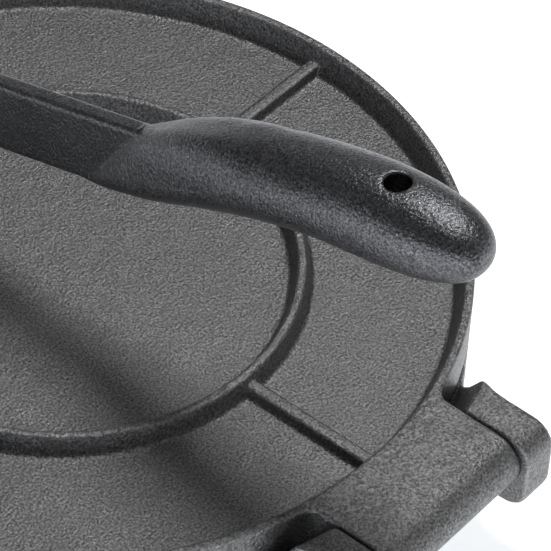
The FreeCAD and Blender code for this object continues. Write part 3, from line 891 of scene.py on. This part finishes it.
def cast_skin(name, grain, depth, base, bright, rough, metal):
    """Sand-cast iron under a thin dark finish: fine grain, soft mottling and lighter edges.
    The grain's pits get painted shade and its tops painted glints. The edges are lighter partly
    where the finish is rubbed bare and partly as a painted edge highlight.

    grain is the size of the sand's grains and depth is how deep they are, both in metres."""
    s = Surface(name)
    sand = s.noise(grain, 3.0, 0.7)
    pebbles = s.spread(s.cells(grain * 1.3, 0.5), 0.0, 0.8, 1.0, 0.0)
    height = s.math("ADD", s.math("MULTIPLY", pebbles, 0.45), sand)
    swell = s.noise(0.007, 2.0, 0.5)
    normal = s.bump(swell, depth * 1.4)
    s.link(s.bump(height, depth, normal), s.shader.inputs["Normal"])
    mottle = s.spread(s.noise(0.045, 4.0, 0.6), 0.3, 0.7, 0.0, 1.0)
    colour = s.mix_colour(mottle, base, bright)
    # The grain's colour follows its bump: darker in the pits as painted shade and lighter on the
    # tops as painted glints, over the grain's own tone.
    speck = s.spread(sand, 0.40, 0.62, 0.0, 1.0)
    pit_shade_and_glint = s.mix_colour(speck, scaled(base, 0.45), scaled(bright, 1.75))
    colour = s.mix_colour(s.spread(swell, 0.3, 0.7, 0.55, 0.85), colour, pit_shade_and_glint)
    # Convex edges are made lighter, partly where the finish is rubbed bare and partly as a painted
    # edge highlight. The polish lowers their roughness.
    wear_and_sheen = s.node("Attribute", attribute_name=EDGE_WEAR_AND_SHEEN)
    worn_and_sheen = s.math("MULTIPLY", s.spread(wear_and_sheen.outputs["Fac"], 0.25, 0.85, 0.0, 0.55),
                  s.spread(s.noise(0.004, 3.0, 0.6), 0.3, 0.6, 0.3, 1.0))
    s.link(s.mix_colour(worn_and_sheen, colour, scaled(bright, 2.4)), s.shader.inputs["Base Color"])
    rough_here = s.spread(s.noise(0.02, 3.0, 0.6), 0.3, 0.7, rough - 0.04, rough + 0.05)
    polish = s.math("MULTIPLY", worn_and_sheen, 0.12)
    s.link(s.math("SUBTRACT", rough_here, polish), s.shader.inputs["Roughness"])
    s.shader.inputs["Metallic"].default_value = metal
    s.shader.inputs["Specular IOR Level"].default_value = 0.5
    return s.material


def zinc_steel():
    """Dull zinc plating with crystal blotches and fine turning marks."""
    s = Surface("zinc_plated_steel")
    spangle = s.cells(0.0016, 0.2)
    grime = s.noise(0.005, 4.0, 0.65)
    blotch = s.spread(spangle, 0.1, 0.7, 0.0, 1.0)
    colour = s.mix_colour(blotch, (0.40, 0.41, 0.42), (0.62, 0.63, 0.63))
    stain = s.spread(grime, 0.52, 0.75, 0.0, 0.7)
    s.link(s.mix_colour(stain, colour, (0.16, 0.15, 0.14)), s.shader.inputs["Base Color"])
    s.link(s.spread(grime, 0.3, 0.7, 0.28, 0.5), s.shader.inputs["Roughness"])
    s.link(s.bump(s.noise(0.0005, 2.0, 0.5), 0.00003), s.shader.inputs["Normal"])
    s.shader.inputs["Metallic"].default_value = 1.0
    return s.material


def foot_rubber():
    """Matt black moulded rubber with a dusty bloom."""
    s = Surface("moulded_rubber")
    bloom = s.spread(s.noise(0.006, 4.0, 0.6), 0.4, 0.75, 0.0, 1.0)
    colour = s.mix_colour(bloom, (0.018, 0.018, 0.018), (0.045, 0.044, 0.042))
    s.link(colour, s.shader.inputs["Base Color"])
    s.link(s.spread(bloom, 0.0, 1.0, 0.62, 0.82), s.shader.inputs["Roughness"])
    s.link(s.bump(s.noise(0.0006, 3.0, 0.6), 0.00005), s.shader.inputs["Normal"])
    s.shader.inputs["Specular IOR Level"].default_value = 0.35
    return s.material


def pale_floor():
    """Matt near-white floor that glows a little, so that it stays white in the picture."""
    s = Surface("studio_floor")
    tint = s.spread(s.noise(0.5, 2.0, 0.5), 0.3, 0.7, 0.0, 1.0)
    colour = s.mix_colour(tint, (0.90, 0.90, 0.90), (0.93, 0.93, 0.93))
    s.link(colour, s.shader.inputs["Base Color"])
    s.shader.inputs["Roughness"].default_value = 0.9
    s.shader.inputs["Specular IOR Level"].default_value = 0.1
    s.shader.inputs["Emission Color"].default_value = (0.94, 0.97, 1.0, 1.0)
    s.shader.inputs["Emission Strength"].default_value = 0.8
    return s.material


# ---------------------------------------------------------------- pieces

def span(*nodes):
    """Box of some nodes as corners about the plates' axis."""
    lows, highs = zip(*[node_box(node) for node in nodes])
    shift = np.array([0.0, PLATE_Y, 0.0])
    low = np.min([np.array(v) for v in lows], axis=0) - shift
    high = np.max([np.array(v) for v in highs], axis=0) - shift
    return low, high


def add_piece(name, field, nodes, body, material, cell, keep=1.0):
    """Skin of a field that stands for some CAD nodes and moves with their body."""
    low, high = span(*nodes)
    piece = skin(name, field, low, high, cell, keep)
    piece.data.materials.append(material)
    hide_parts(*nodes)
    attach(piece, body)
    return piece


def add_castings():
    plate_skin = cast_skin("cast_plate_skin", grain=0.00080, depth=0.00032, rough=0.42, metal=0.85,
                           base=(0.150, 0.150, 0.151), bright=(0.210, 0.210, 0.210))
    lever_skin = cast_skin("cast_lever_skin", grain=0.00080, depth=0.00022, rough=0.32, metal=0.90,
                           base=(0.095, 0.096, 0.102), bright=(0.135, 0.136, 0.143))
    add_piece("upper_plate_casting", upper_plate_field, ["upper_plate"], "plate",
              plate_skin, cell=0.75, keep=0.28)
    add_piece("base_plate_casting", base_plate_field, ["base_plate"], "base",
              plate_skin, cell=1.0, keep=0.5)
    add_piece("lever_casting", lever_field, ["lever_handle"], "lever",
              lever_skin, cell=0.8)


def add_fasteners():
    steel = zinc_steel()
    pin_r = lever_pin_r()
    fasteners = (
        ("hinge_headed_pin", "hinge_pin", hinge_pin_field, 0.4),
        ("lever_hex_bolt", "lever_bolt", bolt_field("lever_bolt", PIVOT_Y, PIVOT_Z), 0.3),
        ("lever_lock_nut", "lever_nut", nut_field("lever_nut", PIVOT_Y, PIVOT_Z, pin_r), 0.35),
        ("lever_plain_washers", "lever_washers",
         both_washers("lever_washers", PIVOT_Y, PIVOT_Z, pin_r + 0.2), 0.4),
        ("foot_pan_screws", "foot_screws", nearest_foot(foot_screw_field), 0.3),
        ("foot_plain_washers", "foot_washers", nearest_foot(foot_washer_field), 0.3),
    )
    for name, node, field, cell in fasteners:
        add_piece(name, field, [node], "base", steel, cell)


def add_feet():
    rubber = foot_rubber()
    for fore, y_side in (("rear", 1), ("front", -1)):
        for hand, x_side in (("right", 1), ("left", -1)):
            place = fore + "_" + hand
            add_piece("foot_" + place, foot_field(x_side * FOOT_X, y_side * FOOT_X),
                      ["rubber_foot_" + place], "base", rubber, 0.5)


# ---------------------------------------------------------------- studio

VIEW_AZIMUTH = math.radians(127.44)
VIEW_ELEVATION = math.radians(45.55)
VIEW_ROLL = math.radians(3.38)
VIEW_DISTANCE = 1.222
VIEW_LENS = 252.5
AIM_RIGHT = 0.0680
AIM_UP = -0.0044
PLATE_TOP = Vector((0, PLATE_Y, RIM_TOP_Z)) * MM
FLOOR_HALF_W = 3.0
FLOOR_DROP = 0.0002         # keeps the floor's face apart from the feet's
LAMP_TINT = (0.93, 0.95, 1.0)

# BACK points from the plates to the camera; RIGHT and AWAY lie level, as the camera sees them.
BACK = Vector((math.sin(VIEW_AZIMUTH) * math.cos(VIEW_ELEVATION),
               -math.cos(VIEW_AZIMUTH) * math.cos(VIEW_ELEVATION),
               math.sin(VIEW_ELEVATION)))
RIGHT = Vector((math.cos(VIEW_AZIMUTH), math.sin(VIEW_AZIMUTH), 0))
AWAY = Vector((-math.sin(VIEW_AZIMUTH), math.cos(VIEW_AZIMUTH), 0))
UP = Vector((0, 0, 1))


def turn_towards(obj, place, x_axis, y_axis, z_axis):
    """Put obj at place with those axes."""
    turn = Matrix((x_axis, y_axis, z_axis)).transposed().to_4x4()
    obj.matrix_world = Matrix.Translation(place) @ turn


def add_camera():
    """Long lens at the photograph's angle, turned a little about its own axis."""
    data = bpy.data.cameras.new("camera")
    data.lens = VIEW_LENS
    data.sensor_width = 36.0
    data.clip_start = 0.01
    camera = bpy.data.objects.new("camera", data)
    bpy.context.scene.collection.objects.link(camera)
    level_up = BACK.cross(RIGHT)
    across = RIGHT * math.cos(VIEW_ROLL) + level_up * math.sin(VIEW_ROLL)
    upward = level_up * math.cos(VIEW_ROLL) - RIGHT * math.sin(VIEW_ROLL)
    aim = PLATE_TOP + RIGHT * AIM_RIGHT + level_up * AIM_UP
    turn_towards(camera, aim + BACK * VIEW_DISTANCE, across, upward, BACK)
    bpy.context.scene.camera = camera


def softbox(name, towards, distance, width, height, brightness, colour=(1, 1, 1)):
    """Rectangular lamp that faces the plates. towards is its direction: right, away and up."""
    right, away, up = towards
    direction = (RIGHT * right + AWAY * away + UP * up).normalized()
    data = bpy.data.lights.new(name, "AREA")
    data.shape = "RECTANGLE"
    data.size = width
    data.size_y = height
    data.energy = brightness * math.pi * width * height
    data.color = colour
    lamp = bpy.data.objects.new(name, data)
    bpy.context.scene.collection.objects.link(lamp)
    across = UP.cross(direction).normalized()
    turn_towards(lamp, PLATE_TOP + direction * distance, across, direction.cross(across), direction)


def add_floor():
    half = FLOOR_HALF_W
    corners = [(-half, -half, 0), (half, -half, 0), (half, half, 0), (-half, half, 0)]
    mesh = bpy.data.meshes.new("floor")
    mesh.from_pydata(corners, [], [(0, 1, 2, 3)])
    floor = bpy.data.objects.new("floor", mesh)
    floor.location.z = -FLOOR_DROP
    bpy.context.scene.collection.objects.link(floor)
    mesh.materials.append(pale_floor())


def add_lamps():
    """Widths, heights and distances are in metres."""
    softbox("overhead", (0.18, 0.30, 0.94), 1.3, 0.40, 0.40, brightness=16.0)
    softbox("right_side", (0.92, -0.05, 0.42), 1.3, 0.9, 0.5, brightness=0.7)
    softbox("backdrop", (0.0, 0.85, 0.55), 1.6, 1.8, 0.8, brightness=0.18)
    softbox("front_left", (-0.58, -0.80, -0.01), 1.2, 0.28, 0.30, brightness=13.0, colour=LAMP_TINT)
    softbox("front", (0.20, -0.96, 0.06), 1.2, 0.20, 0.25, brightness=14.0, colour=LAMP_TINT)


def add_air():
    """Faint even light from all around."""
    world = bpy.data.worlds.new("studio_air")
    world.use_nodes = True
    background = world.node_tree.nodes["Background"]
    background.inputs["Color"].default_value = (0.95, 0.97, 1.0, 1.0)
    background.inputs["Strength"].default_value = 0.10
    bpy.context.scene.world = world


def add_studio():
    add_camera()
    add_floor()
    add_lamps()
    add_air()
    bpy.context.scene.view_settings.view_transform = "Standard"


add_castings()
add_fasteners()
add_feet()
add_studio()
